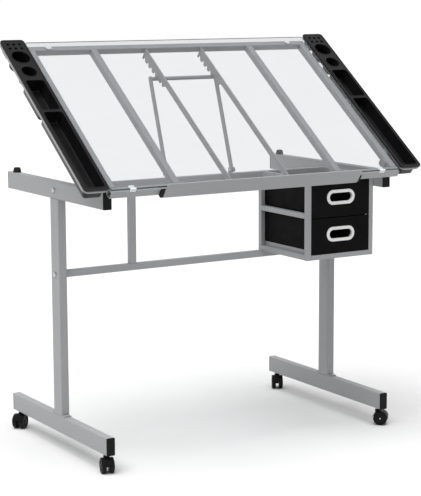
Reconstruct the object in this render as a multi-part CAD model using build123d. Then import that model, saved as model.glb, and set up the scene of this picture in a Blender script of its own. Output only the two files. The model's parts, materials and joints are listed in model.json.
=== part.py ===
"""Tilting drafting table: glass desktop on a T-leg steel frame, lift-out trays, drawers, casters.

Millimetres. +X to the right as seen by the person sitting at it, +Y to the back, +Z up.
The design frame has X = 0 at the left foot's outer face, Y = 0 at the front end of the feet
and Z = 0 under the feet. The last step moves everything so that the origin lies on the floor,
in the middle of the whole table's bounding box.
"""
from build123d import *
from math import atan2, cos, degrees, hypot, radians, sin
import os

# ---- base frame --------------------------------------------------------------------------
BASE_WIDTH = 960.0          # over both feet and both beams
TUBE_LENGTH = 600.0         # feet and beams, without their end caps
LEG_TUBE_WIDE = 25.0        # X size of feet, legs and beams
LEG_TUBE_DEEP = 50.0        # the other side of the same tube
TUBE_WALL = 1.5
TUBE_CORNER = 2.5
CAP_THICK = 3.0
CAP_PLUG = 12.0
CAP_FIT = 0.2               # an end cap's plug is this much smaller than the tube, all round
CAP_PLUG_CORNER = 1.2
FLANGE_THICK = 3.0
FLANGE_LENGTH = 76.0
FLANGE_INSET = 0.5
FLANGE_BOLT_OUT = 7.0       # a flange bolt's axis stands this far outside the leg
FLANGE_BOLT_R = 2.5
FLANGE_BOLT_HEAD_R = 4.5
FLANGE_BOLT_HEAD = 3.0
BUMPER_Y = 565.0
BUMPER_R = (12.0, 9.0)      # at the foot and at the top
BUMPER_GAP = 0.4            # under the desktop when it lies flat
LEG_CENTRE_Y = 296.7
BEAM_BOTTOM = 678.0
BEAM_TOP = BEAM_BOTTOM + LEG_TUBE_DEEP

# ---- crossbars and post ------------------------------------------------------------------
BAR = 20.0                  # square tube
LOWER_BAR_BOTTOM = 451.5
UPPER_BAR_BOTTOM = BEAM_BOTTOM + (LEG_TUBE_DEEP - BAR) / 2
POST_LEFT = 239.0
BOLT_R = 4.0
BOLT_HEAD_R = 7.0
BOLT_HEAD = 4.0
BOLT_HEAD_ROUND = 1.5
BOLT_SOCKET_R = 2.5
BOLT_SOCKET_DEEP = 2.5
BOLT_END = 4.0              # how far a crossbar bolt reaches into its crossbar

# ---- desktop frame: local axes are x, s (up the slope) and n (out of the glass) ------------
TILT = 36.1                 # degrees above flat, as placed
HINGE_Y = 8.0
HINGE_Z = 735.0
DESK_TUBE = 20.0
DESK_UNDER = 8.0            # n of the tubes' underside
DESK_TOP = DESK_UNDER + DESK_TUBE
DESK_FRONT = -49.8          # s of the front tube's front face
DESK_REAR = 577.0
RIB_LEFT = 200.0
HINGE_PIN_R = 3.0
HINGE_PIN_HEAD_R = 5.0
HINGE_PIN_HEAD = 2.4
HINGE_PIN_X = (-6.0, 26.0)
RUNNING = 0.05              # radial clearance of pins and axles
EAR_THICK = 3.0
EAR_R = 6.3
EAR_LONG = 14.0             # an ear runs this far past its rounded end
EAR_DROP = 4.0
LUG_X = (6.0, 14.0)
LUG_R = 7.0

# ---- glass -------------------------------------------------------------------------------
GLASS_WIDTH = 965.0
GLASS_DEPTH = 635.0
GLASS_THICK = 5.0
GLASS_FRONT = -46.0
PAD = 4.0
GLASS_UNDER = DESK_TOP + PAD
GLASS_TOP = GLASS_UNDER + GLASS_THICK
GLASS_CORNER = 6.0
GLASS_CHAMFER = 0.8
PAD_X = 65.0
PAD_R = 9.0
CLIP_HALF = 9.0
CLIP_PROUD = 2.5            # a clip stands this far above the glass, in front of its edge
CLIP_ROUND = 2.0

# ---- tilting stay ------------------------------------------------------------------------
STAY_PIVOT_Z = 723.0
STAY_LINE = 1.5             # degrees that the stay bar's path falls away from the desktop
STAY_BAR_R = 6.0
STAY_LEG_WIDE = 16.0
STAY_LEG_THICK = 4.0
RACK_X = 110.0              # racks and stay legs, either side of the middle
RACK_THICK = 4.0
RACK_INSIDE = 12.0          # from a rack's outer face to RACK_X
RACK_RAMP = 12.0
RACK_BELOW_TOP = 2.0
STAY_CLEARANCE = 0.5        # between the stay bar and the racks
STAY_SIDE_GAP = 1.0
STAY_LUG_R = 9.0
STAY_LUG_THICK = 4.0
STAY_PIN_HEAD = 2.4
RACK_NOTCH_FIRST = 425.0
RACK_NOTCH_STEP = 24.0
RACK_NOTCHES = 6

# ---- pencil ledge ------------------------------------------------------------------------
LEDGE_LENGTH = 648.0
LEDGE_OFFSET = 3.0          # the ledge sits this far right of the middle
LEDGE_BOTTOM = 7.4
LEDGE_TOP = 55.8
LEDGE_THICK = 2.0
GLIDE_DEEP = 8.5            # s depth of the glides that carry it
GLIDE_WIDE = 34.0
GLIDE_PROUD = 9.0           # how far a glide shows beyond the ledge's end
GLIDE_N = (6.0, 31.0)
GLIDE_ROUND = 2.5
GLIDE_GAP = 0.3             # between the ledge and the front of its glides
LEDGE_CORNER = 6.0
BUTTON_IN = 12.5            # from the ledge's end to the middle of its sliding button
BUTTON_N = (22.6, 29.4)
BUTTON_HALF = 8.4
NECK_HALF = 3.4
SLOT_CLEARANCE = 0.6
SLOT_TOP = 40.0

# ---- side trays --------------------------------------------------------------------------
TRAY_X = (-80.0, -5.0)
TRAY_S = (-46.0, 596.0)
TRAY_TOP = 42.0
TRAY_DECK = 2.5
TRAY_RIM_BOTTOM = 35.3
TRAY_RIM = 3.0
TRAY_WALL = 2.2
TRAY_CORNER = 11.0
POD_X = (-72.5, -12.5)
POD_BOTTOM = 0.0
POD_TAPER = 4.0
POD_CORNER = 12.0
CUPS = ((518.0, 28.5), (453.0, 24.0))              # s of the centre, outer radius at the deck
COMPARTMENTS = ((350.0, 132.0), (120.5, 315.0))    # s of the centre, outer length at the deck
BRUSH_BLOCK = (567.0, 38.0)                         # s of the centre, length
BRUSH_BLOCK_WIDE = 56.0
BRUSH_ROWS = (558.0, 576.0)
BRUSH_PITCH = 18.0
BRUSH_HOLE_R = 4.5
BRUSH_HOLE_DEEP = 30.0
BRUSH_BLOCK_DEEP = 34.0
BRUSH_BLOCK_CORNER = 5.0
LOOP_ROD_R = 4.0
LOOP_N = 31.0
LOOP_X = (-77.0, -8.5)
LOOP_S = (-42.0, 592.0)
LOOP_CORNER = 14.0
LOOP_TAB_S = (40.0, 275.0, 540.0)
LOOP_TAB_HALF = 9.0
LOOP_TAB_BELOW = 6.0

# ---- drawer unit -------------------------------------------------------------------------
UNIT_POST = 15.0
UNIT_X = (695.0, BASE_WIDTH - LEG_TUBE_WIDE)
UNIT_FRONT = 44.2
UNIT_REAR = LEG_CENTRE_Y + UNIT_POST / 2
UNIT_BOTTOM = LOWER_BAR_BOTTOM + BAR
UNIT_TOP = UPPER_BAR_BOTTOM + BAR
MID_RAIL_BOTTOM = 595.0
UNIT_WALL = 1.2
UNIT_CORNER = 1.5
RUNNER_WIDE = 12.0
RUNNER_THICK = 2.0
UPPER_RUNNER = 5.0          # an upper runner lies this far above the bottom of its rail
RUNNER_FLANGE = 1.2         # the lower runners' upright side, beside the drawer
RUNNER_FLANGE_HIGH = 13.0   # above the lower rails
RUNNER_CLEARANCE = 0.3
DRAWER_GAP = 1.0
BOX_INSET = 0.5             # a drawer's box is this much narrower than its front, each side
DRAWER_WALL = 2.5
DRAWER_FRONT_THICK = 3.5
DRAWER_REAR = 300.0
LOWER_DRAWER = (487.5, 593.0, 592.5)     # front bottom, front top, box top
UPPER_DRAWER = (595.5, 704.0, 692.0)
GRIP_LENGTH = 100.0
GRIP_HEIGHT = 44.0
GRIP_RING = 9.0
GRIP_PROUD = 2.5
GRIP_LIFT = 4.0             # grips sit this far above the middle of their drawer fronts
GRIP_ROUND = 1.8
GRIP_SEAT = 4.0             # the hole in the front is this much larger than the finger slot
GRIP_FIT = 0.4
GRIP_BEHIND = 2.0

# ---- casters -----------------------------------------------------------------------------
CASTER_HEIGHT = 52.0
CASTER_INSET = 25.0         # stem to the end of the foot
CASTER_TRAIL = 9.0
WHEEL_R = 21.0
WHEEL_WIDE = 13.0
WHEEL_GAP = 10.0
STEM_R = 4.0
STEM_IN_FOOT = 16.0
STEM_BELOW = 22.0
STEM_DISC_R = 7.0
STEM_DISC = 2.8
HOOD_R = 23.0
HOOD_INSIDE = 0.6           # between the hood and the wheels
COLLAR_R = 8.0
AXLE_R = 2.5
WHEEL_ROUND = 2.5
HUB_RECESS = 1.5
HUB_RECESS_R = (15.5, 6.0)
CASTERS = {                 # left/right, front/rear, heading in degrees from +Y towards +X
    "front_left": (0, 0, 16.0),
    "rear_left": (0, 1, 51.0),
    "front_right": (1, 0, -45.0),
    "rear_right": (1, 1, 31.0),
}

PARTS = {}
MIDDLE_X = BASE_WIDTH / 2
DESK = Location((0, HINGE_Y, HINGE_Z), (TILT, 0, 0))


# ---- small helpers -----------------------------------------------------------------------
def block(x, y, z):
    """A box from three (low, high) pairs."""
    size = (x[1] - x[0], y[1] - y[0], z[1] - z[0])
    return Pos((x[0] + x[1]) / 2, (y[0] + y[1]) / 2, (z[0] + z[1]) / 2) * Box(*size)


def tube(x, y, z, along, wall=TUBE_WALL, corner=TUBE_CORNER):
    """A rounded rectangular tube that fills three (low, high) pairs and is open along one axis."""
    spans = {"X": x, "Y": y, "Z": z}
    plane = {
        "X": Plane(origin=(0, 0, 0), x_dir=(0, 1, 0), z_dir=(1, 0, 0)),
        "Y": Plane(origin=(0, 0, 0), x_dir=(1, 0, 0), z_dir=(0, 1, 0)),
        "Z": Plane(origin=(0, 0, 0), x_dir=(1, 0, 0), z_dir=(0, 0, 1)),
    }[along]
    across = {"X": (y, z), "Y": (x, z), "Z": (x, y)}[along]
    wide, high = (pair[1] - pair[0] for pair in across)
    profile = RectangleRounded(wide, high, corner)
    profile -= RectangleRounded(wide - 2 * wall, high - 2 * wall, max(corner - wall, 0.4))
    length = spans[along][1] - spans[along][0]
    centre = Pos(*((pair[0] + pair[1]) / 2 for pair in (x, y, z)))
    return centre * extrude(plane * profile, amount=length / 2, both=True)


def rod(centre, axis, radius, length):
    """A round rod about a centre point, along X, Y or Z."""
    turn = {"X": Rot(0, 90, 0), "Y": Rot(90, 0, 0), "Z": Rot(0, 0, 0)}[axis]
    return Pos(*centre) * turn * Cylinder(radius, length)


def mirrored(shape):
    """The same shape on the other side of the table's middle plane."""
    return mirror(shape, about=Plane(origin=(MIDDLE_X, 0, 0), z_dir=(1, 0, 0)))


def add(name, *shapes):
    """Keep one node, in the design frame."""
    PARTS[name] = list(shapes)


def add_desk(name, *shapes):
    """Keep one node that was drawn in the desktop's own axes."""
    add(name, *(DESK * shape for shape in shapes))


# ---- base --------------------------------------------------------------------------------
def end_cap(y, z_low, outward):
    """A plastic plug for the end of a foot or beam: a flat head and a hollow-fitting stub."""
    x = (0, LEG_TUBE_WIDE)
    z = (z_low, z_low + LEG_TUBE_DEEP)
    head = block(x, sorted((y, y + outward * CAP_THICK)), z)
    head = fillet(head.edges().filter_by(Axis.Y), TUBE_CORNER)
    inset = TUBE_WALL + CAP_FIT
    stub_y = sorted((y, y - outward * CAP_PLUG))
    stub = block((x[0] + inset, x[1] - inset), stub_y, (z[0] + inset, z[1] - inset))
    return head + fillet(stub.edges().filter_by(Axis.Y), CAP_PLUG_CORNER)


def build_base():
    feet = (0, LEG_TUBE_WIDE), (0, TUBE_LENGTH)
    foot = tube(*feet, (0, LEG_TUBE_DEEP), "Y")
    for y in (CASTER_INSET, TUBE_LENGTH - CASTER_INSET):
        foot -= rod((LEG_TUBE_WIDE / 2, y, 0), "Z", STEM_R, 4 * TUBE_WALL)
    beam = tube(*feet, (BEAM_BOTTOM, BEAM_TOP), "Y")
    leg_y = (LEG_CENTRE_Y - LEG_TUBE_DEEP / 2, LEG_CENTRE_Y + LEG_TUBE_DEEP / 2)
    leg = tube(feet[0], leg_y, (LEG_TUBE_DEEP + FLANGE_THICK, BEAM_BOTTOM), "Z")
    lower_bolt_z = LOWER_BAR_BOTTOM + BAR / 2
    upper_bolt_z = UPPER_BAR_BOTTOM + BAR / 2
    leg -= rod((LEG_TUBE_WIDE / 2, LEG_CENTRE_Y, lower_bolt_z), "X", BOLT_R, 2 * LEG_TUBE_WIDE)
    beam -= rod((LEG_TUBE_WIDE / 2, LEG_CENTRE_Y, upper_bolt_z), "X", BOLT_R, 2 * LEG_TUBE_WIDE)
    for name, shape in (("foot", foot), ("leg", leg), ("beam", beam)):
        add("left_" + name, shape)
        add("right_" + name, mirrored(shape))

    ends = ((0, -1), (TUBE_LENGTH, 1))
    for name, z_low in (("foot_end_caps", 0), ("beam_end_caps", BEAM_BOTTOM)):
        caps = [end_cap(y, z_low, outward) for y, outward in ends]
        add(name, *caps, *(mirrored(cap) for cap in caps))

    bumper_height = HINGE_Z + DESK_UNDER - BEAM_TOP - BUMPER_GAP
    bumper = Pos(LEG_TUBE_WIDE / 2, BUMPER_Y, BEAM_TOP) * Cone(
        *BUMPER_R, bumper_height, align=(Align.CENTER, Align.CENTER, Align.MIN))
    add("beam_bumpers", bumper, mirrored(bumper))

    flange_y = (LEG_CENTRE_Y - FLANGE_LENGTH / 2, LEG_CENTRE_Y + FLANGE_LENGTH / 2)
    top = LEG_TUBE_DEEP + FLANGE_THICK
    flange = block((FLANGE_INSET, LEG_TUBE_WIDE - FLANGE_INSET), flange_y, (LEG_TUBE_DEEP, top))
    bolts = []
    for end in (-1, 1):
        x, y = LEG_TUBE_WIDE / 2, LEG_CENTRE_Y + end * (LEG_TUBE_DEEP / 2 + FLANGE_BOLT_OUT)
        flange -= rod((x, y, top), "Z", FLANGE_BOLT_R, 4 * FLANGE_THICK)
        bolts.append(rod((x, y, top + FLANGE_BOLT_HEAD / 2), "Z", FLANGE_BOLT_HEAD_R, FLANGE_BOLT_HEAD)
                     + rod((x, y, top - FLANGE_THICK / 2), "Z", FLANGE_BOLT_R, FLANGE_THICK))
    add("leg_flanges", flange, mirrored(flange))
    add("leg_flange_bolts", *bolts, *(mirrored(bolt) for bolt in bolts))

    inside = (LEG_TUBE_WIDE, BASE_WIDTH - LEG_TUBE_WIDE)
    bar_y = (LEG_CENTRE_Y - BAR / 2, LEG_CENTRE_Y + BAR / 2)
    for name, z_low in (("lower_crossbar", LOWER_BAR_BOTTOM), ("upper_crossbar", UPPER_BAR_BOTTOM)):
        add(name, tube(inside, bar_y, (z_low, z_low + BAR), "X"))
    add("centre_post", tube((POST_LEFT, POST_LEFT + BAR), bar_y, (UNIT_BOTTOM, UPPER_BAR_BOTTOM), "Z"))

    screws = []
    for z in (lower_bolt_z, upper_bolt_z):
        head = rod((-BOLT_HEAD / 2, LEG_CENTRE_Y, z), "X", BOLT_HEAD_R, BOLT_HEAD)
        head = fillet(head.edges().filter_by(GeomType.CIRCLE).group_by(Axis.X)[0], BOLT_HEAD_ROUND)
        socket = Pos(-BOLT_HEAD, LEG_CENTRE_Y, z) * Rot(0, 90, 0) * extrude(
            RegularPolygon(BOLT_SOCKET_R, 6), amount=BOLT_SOCKET_DEEP)
        reach = LEG_TUBE_WIDE + BOLT_END
        shank = rod((reach / 2, LEG_CENTRE_Y, z), "X", BOLT_R, reach)
        screws.append(head - socket + shank)
    add("crossbar_bolts", *screws, *(mirrored(screw) for screw in screws))


# ---- hinge between the beams and the desktop -----------------------------------------------
def build_hinges():
    pin = rod((sum(HINGE_PIN_X) / 2, 0, 0), "X", HINGE_PIN_R, HINGE_PIN_X[1] - HINGE_PIN_X[0])
    pin += rod((HINGE_PIN_X[0] - HINGE_PIN_HEAD / 2, 0, 0), "X", HINGE_PIN_HEAD_R, HINGE_PIN_HEAD)
    pin = Pos(0, HINGE_Y, HINGE_Z) * pin
    lug = block(LUG_X, (HINGE_Y - LUG_R, HINGE_Y + LUG_R), (BEAM_TOP, HINGE_Z))
    lug += rod((sum(LUG_X) / 2, HINGE_Y, HINGE_Z), "X", LUG_R, LUG_X[1] - LUG_X[0])
    lug -= rod((sum(LUG_X) / 2, HINGE_Y, HINGE_Z), "X", HINGE_PIN_R, 40)
    add("hinge_lugs", lug, mirrored(lug))
    add("hinge_pins", pin, mirrored(pin))

    ears = []
    for x in ((-EAR_THICK, 0), (DESK_TUBE, DESK_TUBE + EAR_THICK)):
        rear = EAR_R + EAR_LONG
        ear = block(x, (-EAR_R, rear), (0, DESK_TOP - EAR_DROP))
        ear += rod((sum(x) / 2, 0, 0), "X", EAR_R, EAR_THICK)
        web = block(x, (0, rear), (EAR_DROP - EAR_R, DESK_UNDER))
        ear += fillet(web.edges().filter_by(Axis.X).group_by(Axis.Y)[-1].sort_by(Axis.Z)[0], EAR_R - 0.3)
        ears.append(ear - rod((sum(x) / 2, 0, 0), "X", HINGE_PIN_R + RUNNING, 3 * EAR_THICK))
    add_desk("hinge_ears", *ears, *(mirrored(ear) for ear in ears))


# ---- desktop -----------------------------------------------------------------------------
def build_desk_frame():
    n = (DESK_UNDER, DESK_TOP)
    across = (0, BASE_WIDTH)
    front = (DESK_FRONT, DESK_FRONT + DESK_TUBE)
    rear = (DESK_REAR - DESK_TUBE, DESK_REAR)
    between = (front[1], rear[0])
    add_desk("desk_front_tube", tube(across, front, n, "X"))
    add_desk("desk_rear_tube", tube(across, rear, n, "X"))
    side = tube((0, DESK_TUBE), between, n, "Y")
    add_desk("desk_left_tube", side)
    add_desk("desk_right_tube", mirrored(side))
    rib = tube((RIB_LEFT, RIB_LEFT + DESK_TUBE), between, n, "Y")
    add_desk("desk_ribs", rib, mirrored(rib))

    half = GLASS_WIDTH / 2
    glass = block((MIDDLE_X - half, MIDDLE_X + half), (GLASS_FRONT, GLASS_FRONT + GLASS_DEPTH),
                  (GLASS_UNDER, GLASS_TOP))
    glass = fillet(glass.edges().filter_by(Axis.Z), GLASS_CORNER)
    glass = chamfer(glass.faces().sort_by(Axis.Z)[-1].edges(), GLASS_CHAMFER)
    add_desk("glass_top", glass)

    pad = Pos(PAD_X, DESK_REAR - DESK_TUBE / 2, DESK_TOP + PAD / 2) * Cylinder(PAD_R, PAD)
    add_desk("glass_pads", pad, mirrored(pad))
    clip_x = (PAD_X - CLIP_HALF, PAD_X + CLIP_HALF)
    clip = block(clip_x, (DESK_FRONT, DESK_FRONT + DESK_TUBE - 1), (DESK_TOP, GLASS_UNDER))
    clip += block(clip_x, (DESK_FRONT, GLASS_FRONT), (DESK_TOP, GLASS_TOP + CLIP_PROUD))
    clip = fillet(clip.edges().filter_by(Axis.X).group_by(Axis.Z)[-1].sort_by(Axis.Y)[0], CLIP_ROUND)
    add_desk("glass_clips", clip, mirrored(clip))


def rack_lower_edge(s):
    """n of a rack's lower edge: just above the stay bar's straight path through the hinge axis."""
    return -s * sin(radians(STAY_LINE)) + STAY_BAR_R + STAY_CLEARANCE


def build_racks():
    """Notched flat bars on edge, from the front tube to the rear tube, either side of the middle."""
    start = DESK_FRONT + DESK_TUBE
    end = DESK_REAR - DESK_TUBE
    plain = RACK_NOTCH_FIRST - RACK_NOTCH_STEP
    outline = Polyline((start, DESK_UNDER), (plain, DESK_UNDER), (plain + RACK_RAMP, rack_lower_edge(plain)),
                       (end, rack_lower_edge(end)), (end, DESK_TOP - RACK_BELOW_TOP),
                       (start, DESK_TOP - RACK_BELOW_TOP), close=True)
    side_view = Plane(origin=(0, 0, 0), x_dir=(0, 1, 0), z_dir=(1, 0, 0))
    plate = extrude(side_view * make_face(outline), amount=RACK_THICK)
    for count in range(RACK_NOTCHES):
        s = RACK_NOTCH_FIRST + count * RACK_NOTCH_STEP
        notch = (RACK_THICK / 2, s, rack_lower_edge(s) + 2.0)
        plate -= rod(notch, "X", STAY_BAR_R + STAY_CLEARANCE, 3 * RACK_THICK)
    left = Pos(MIDDLE_X - RACK_X + RACK_INSIDE, 0, 0) * plate
    add_desk("tilt_racks", left, mirrored(left))


# ---- tilting stay: its length equals the distance between its pivot and the hinge axis ------
def stay_geometry():
    """Length, angle above level of the stay at rest, and its bar's centre in the design frame."""
    across, up = LEG_CENTRE_Y - HINGE_Y, STAY_PIVOT_Z - HINGE_Z
    length = hypot(across, up)
    base_angle = degrees(atan2(up, across))
    angle = 2 * (TILT - STAY_LINE - base_angle) + base_angle
    centre = (LEG_CENTRE_Y + length * cos(radians(angle)), STAY_PIVOT_Z + length * sin(radians(angle)))
    return length, angle, centre


def build_stay():
    length, angle, bar_centre = stay_geometry()
    print("stay: length %.2f, angle %.2f, bar centre y %.2f z %.2f" % (length, angle, *bar_centre))
    inner = RACK_X + STAY_SIDE_GAP           # legs' inner faces, from the middle
    leg_x = (MIDDLE_X - inner - STAY_LEG_THICK, MIDDLE_X - inner)
    leg = block(leg_x, (0, length), (-STAY_LEG_WIDE / 2, STAY_LEG_WIDE / 2))
    for y in (0, length):
        leg += rod((leg_x[1] - STAY_LEG_THICK / 2, y, 0), "X", STAY_LEG_WIDE / 2, STAY_LEG_THICK)
    leg -= rod((leg_x[1], 0, 0), "X", BOLT_R + RUNNING, 4 * STAY_LEG_THICK)
    leg = Pos(0, LEG_CENTRE_Y, STAY_PIVOT_Z) * Rot(angle, 0, 0) * leg
    add("stay_legs", leg, mirrored(leg))
    add("stay_bar", rod((MIDDLE_X, *bar_centre), "X", STAY_BAR_R, 2 * inner))

    top = UPPER_BAR_BOTTOM + BAR
    lug_x = (leg_x[1] + STAY_SIDE_GAP, leg_x[1] + STAY_SIDE_GAP + STAY_LUG_THICK)
    lug = block(lug_x, (LEG_CENTRE_Y - STAY_LUG_R, LEG_CENTRE_Y + STAY_LUG_R), (top, STAY_PIVOT_Z))
    lug += rod((sum(lug_x) / 2, LEG_CENTRE_Y, STAY_PIVOT_Z), "X", STAY_LUG_R, STAY_LUG_THICK)
    lug -= rod((lug_x[0], LEG_CENTRE_Y, STAY_PIVOT_Z), "X", BOLT_R, 20)
    add("stay_lugs", lug, mirrored(lug))
    pin_x = (leg_x[0] - STAY_LEG_THICK, lug_x[1] + STAY_SIDE_GAP)
    pin = rod((sum(pin_x) / 2, LEG_CENTRE_Y, STAY_PIVOT_Z), "X", BOLT_R, pin_x[1] - pin_x[0])
    pin += rod((pin_x[0] - STAY_PIN_HEAD / 2, LEG_CENTRE_Y, STAY_PIVOT_Z), "X", BOLT_HEAD_R, STAY_PIN_HEAD)
    add("stay_pins", pin, mirrored(pin))


# ---- pencil ledge --------------------------------------------------------------------------
def build_ledge():
    left = MIDDLE_X + LEDGE_OFFSET - LEDGE_LENGTH / 2
    right = left + LEDGE_LENGTH
    back = DESK_FRONT - GLIDE_DEEP - GLIDE_GAP
    face = block((left, right), (back - LEDGE_THICK, back), (LEDGE_BOTTOM, LEDGE_TOP))
    face = fillet(face.edges().filter_by(Axis.Y), LEDGE_CORNER)
    glides = []
    for end, inward in ((left, 1), (right, -1)):
        outer = end - inward * GLIDE_PROUD
        span = sorted((outer, outer + inward * GLIDE_WIDE))
        body = block(span, (DESK_FRONT - GLIDE_DEEP, DESK_FRONT), GLIDE_N)
        body = fillet(body.edges().filter_by(Axis.Y), GLIDE_ROUND)
        centre = end + inward * BUTTON_IN
        neck = sorted((centre - NECK_HALF, centre + NECK_HALF))
        button = (centre - BUTTON_HALF, centre + BUTTON_HALF)
        button_s = (DESK_FRONT - 5.7, DESK_FRONT - 2.4)
        face += block(neck, (back, button_s[0] + 0.7), BUTTON_N) + block(button, button_s, BUTTON_N)
        for x, s in ((neck, (back, button_s[0] + 1.0)), (button, button_s)):
            body -= block((x[0] - SLOT_CLEARANCE, x[1] + SLOT_CLEARANCE),
                          (s[0] - SLOT_CLEARANCE, s[1] + SLOT_CLEARANCE), (0, SLOT_TOP))
        glides.append(body)
    add_desk("pencil_ledge", face)
    add_desk("ledge_glides", *glides)


# ---- side trays ----------------------------------------------------------------------------
def pod(profile, depth):
    """A tapered body that hangs from the deck by a given depth below the tray's top."""
    downward = Plane(origin=(0, 0, TRAY_TOP), x_dir=(1, 0, 0), z_dir=(0, 0, -1))
    return extrude(downward * profile, amount=depth, taper=POD_TAPER)


def tray_pods(shrink, depth):
    """Every cup and compartment of the left tray, as solids a given amount smaller all round."""
    centre_x = (POD_X[0] + POD_X[1]) / 2
    wide = POD_X[1] - POD_X[0]
    shapes = []
    for s, radius in CUPS:
        shapes.append(pod(Pos(centre_x, -s) * Circle(radius - shrink), depth))
    for s, length in COMPARTMENTS:
        outline = RectangleRounded(wide - 2 * shrink, length - 2 * shrink, POD_CORNER - shrink)
        shapes.append(pod(Pos(centre_x, -s) * outline, depth))
    return shapes


def build_tray():
    centre_x = (POD_X[0] + POD_X[1]) / 2
    wide = TRAY_X[1] - TRAY_X[0]
    long = TRAY_S[1] - TRAY_S[0]
    middle = Pos((TRAY_X[0] + TRAY_X[1]) / 2, (TRAY_S[0] + TRAY_S[1]) / 2)
    rim = TRAY_TOP - TRAY_RIM_BOTTOM
    outline = RectangleRounded(wide, long, TRAY_CORNER)
    tray = extrude(Plane.XY.offset(TRAY_RIM_BOTTOM) * middle * outline, amount=rim)
    hollow = RectangleRounded(wide - 2 * TRAY_RIM, long - 2 * TRAY_RIM, TRAY_CORNER - TRAY_RIM)
    tray -= extrude(Plane.XY.offset(TRAY_RIM_BOTTOM) * middle * hollow, amount=rim - TRAY_DECK)
    depth = TRAY_TOP - POD_BOTTOM
    for solid in tray_pods(0, depth):
        tray += solid
    block_outline = RectangleRounded(BRUSH_BLOCK_WIDE, BRUSH_BLOCK[1], BRUSH_BLOCK_CORNER)
    tray += pod(Pos(centre_x, -BRUSH_BLOCK[0]) * block_outline, BRUSH_BLOCK_DEEP)
    for solid in tray_pods(TRAY_WALL, depth - TRAY_WALL):
        tray -= solid
    for row in BRUSH_ROWS:
        for column in (-1, 0, 1):
            tray -= Pos(centre_x + column * BRUSH_PITCH, row, TRAY_TOP) * Cylinder(BRUSH_HOLE_R, 2 * BRUSH_HOLE_DEEP)
    return tray


def build_trays():
    tray = build_tray()
    add_desk("left_tray", tray)
    add_desk("right_tray", mirrored(tray))
    wide = LOOP_X[1] - LOOP_X[0]
    long = LOOP_S[1] - LOOP_S[0]
    centre = ((LOOP_X[0] + LOOP_X[1]) / 2, (LOOP_S[0] + LOOP_S[1]) / 2, LOOP_N)
    path = (Plane(origin=centre) * RectangleRounded(wide, long, LOOP_CORNER)).wire()
    start = Plane(origin=path @ 0, z_dir=path % 0)
    loop = sweep(start * Circle(LOOP_ROD_R), path=path)
    for s in LOOP_TAB_S:
        loop += block((LOOP_X[1] - 1, 0), (s - LOOP_TAB_HALF, s + LOOP_TAB_HALF),
                      (DESK_TOP - LOOP_TAB_BELOW, LOOP_N))
    add_desk("left_tray_loop", loop)
    add_desk("right_tray_loop", mirrored(loop))


# ---- drawer unit ---------------------------------------------------------------------------
def build_drawer_unit():
    front = (UNIT_FRONT, UNIT_FRONT + UNIT_POST)
    rear = (UNIT_REAR - UNIT_POST, UNIT_REAR)
    columns = ((UNIT_X[0], UNIT_X[0] + UNIT_POST), (UNIT_X[1] - UNIT_POST, UNIT_X[1]))
    wall, corner = UNIT_WALL, UNIT_CORNER
    for name, y, top in (("front", front, UNIT_TOP), ("rear", rear, UPPER_BAR_BOTTOM)):
        add("unit_%s_posts" % name, *(tube(x, y, (UNIT_BOTTOM, top), "Z", wall, corner) for x in columns))
    for name, x in zip(("left", "right"), columns):
        rails = []
        for z in (UNIT_BOTTOM, MID_RAIL_BOTTOM):
            rails.append(tube(x, (front[1], rear[0]), (z, z + UNIT_POST), "Y", wall, corner))
        top = (UNIT_TOP - UNIT_POST, UNIT_TOP)
        rails.append(tube(x, (front[1], LEG_CENTRE_Y - BAR / 2), top, "Y", wall, corner))
        add("unit_%s_rails" % name, *rails)

    inside = (columns[0][1], columns[1][0])
    low = (UNIT_BOTTOM, UNIT_BOTTOM + UNIT_POST)
    add("unit_cross_rails", tube(inside, front, low, "X", wall, corner), tube(inside, rear, low, "X", wall, corner))

    runner_y = (front[1], rear[0])
    runners = []
    upper_z = MID_RAIL_BOTTOM + UPPER_RUNNER
    for end, inward in ((inside[0], 1), (inside[1], -1)):
        x = sorted((end, end + inward * RUNNER_WIDE))
        flange_x = sorted((end, end + inward * RUNNER_FLANGE))
        flat = block(x, runner_y, (low[1] - RUNNER_THICK, low[1]))
        runners.append(flat + block(flange_x, runner_y, (low[1] - RUNNER_THICK, low[1] + RUNNER_FLANGE_HIGH)))
        runners.append(block(x, runner_y, (upper_z, upper_z + RUNNER_THICK)))
    add("drawer_runners", *runners)

    floors = (low[1] + RUNNER_CLEARANCE, upper_z + RUNNER_THICK + RUNNER_CLEARANCE)
    for name, sizes, floor in (("lower", LOWER_DRAWER, floors[0]), ("upper", UPPER_DRAWER, floors[1])):
        build_drawer(name, inside, sizes, floor)


def stadium(centre, length, height, y, thick):
    """A rounded-end slot shape in the XZ plane, from y backwards by thick."""
    plane = Plane(origin=(centre[0], y, centre[1]), x_dir=(1, 0, 0), z_dir=(0, 1, 0))
    return extrude(plane * SlotOverall(length, height), amount=thick)


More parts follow.
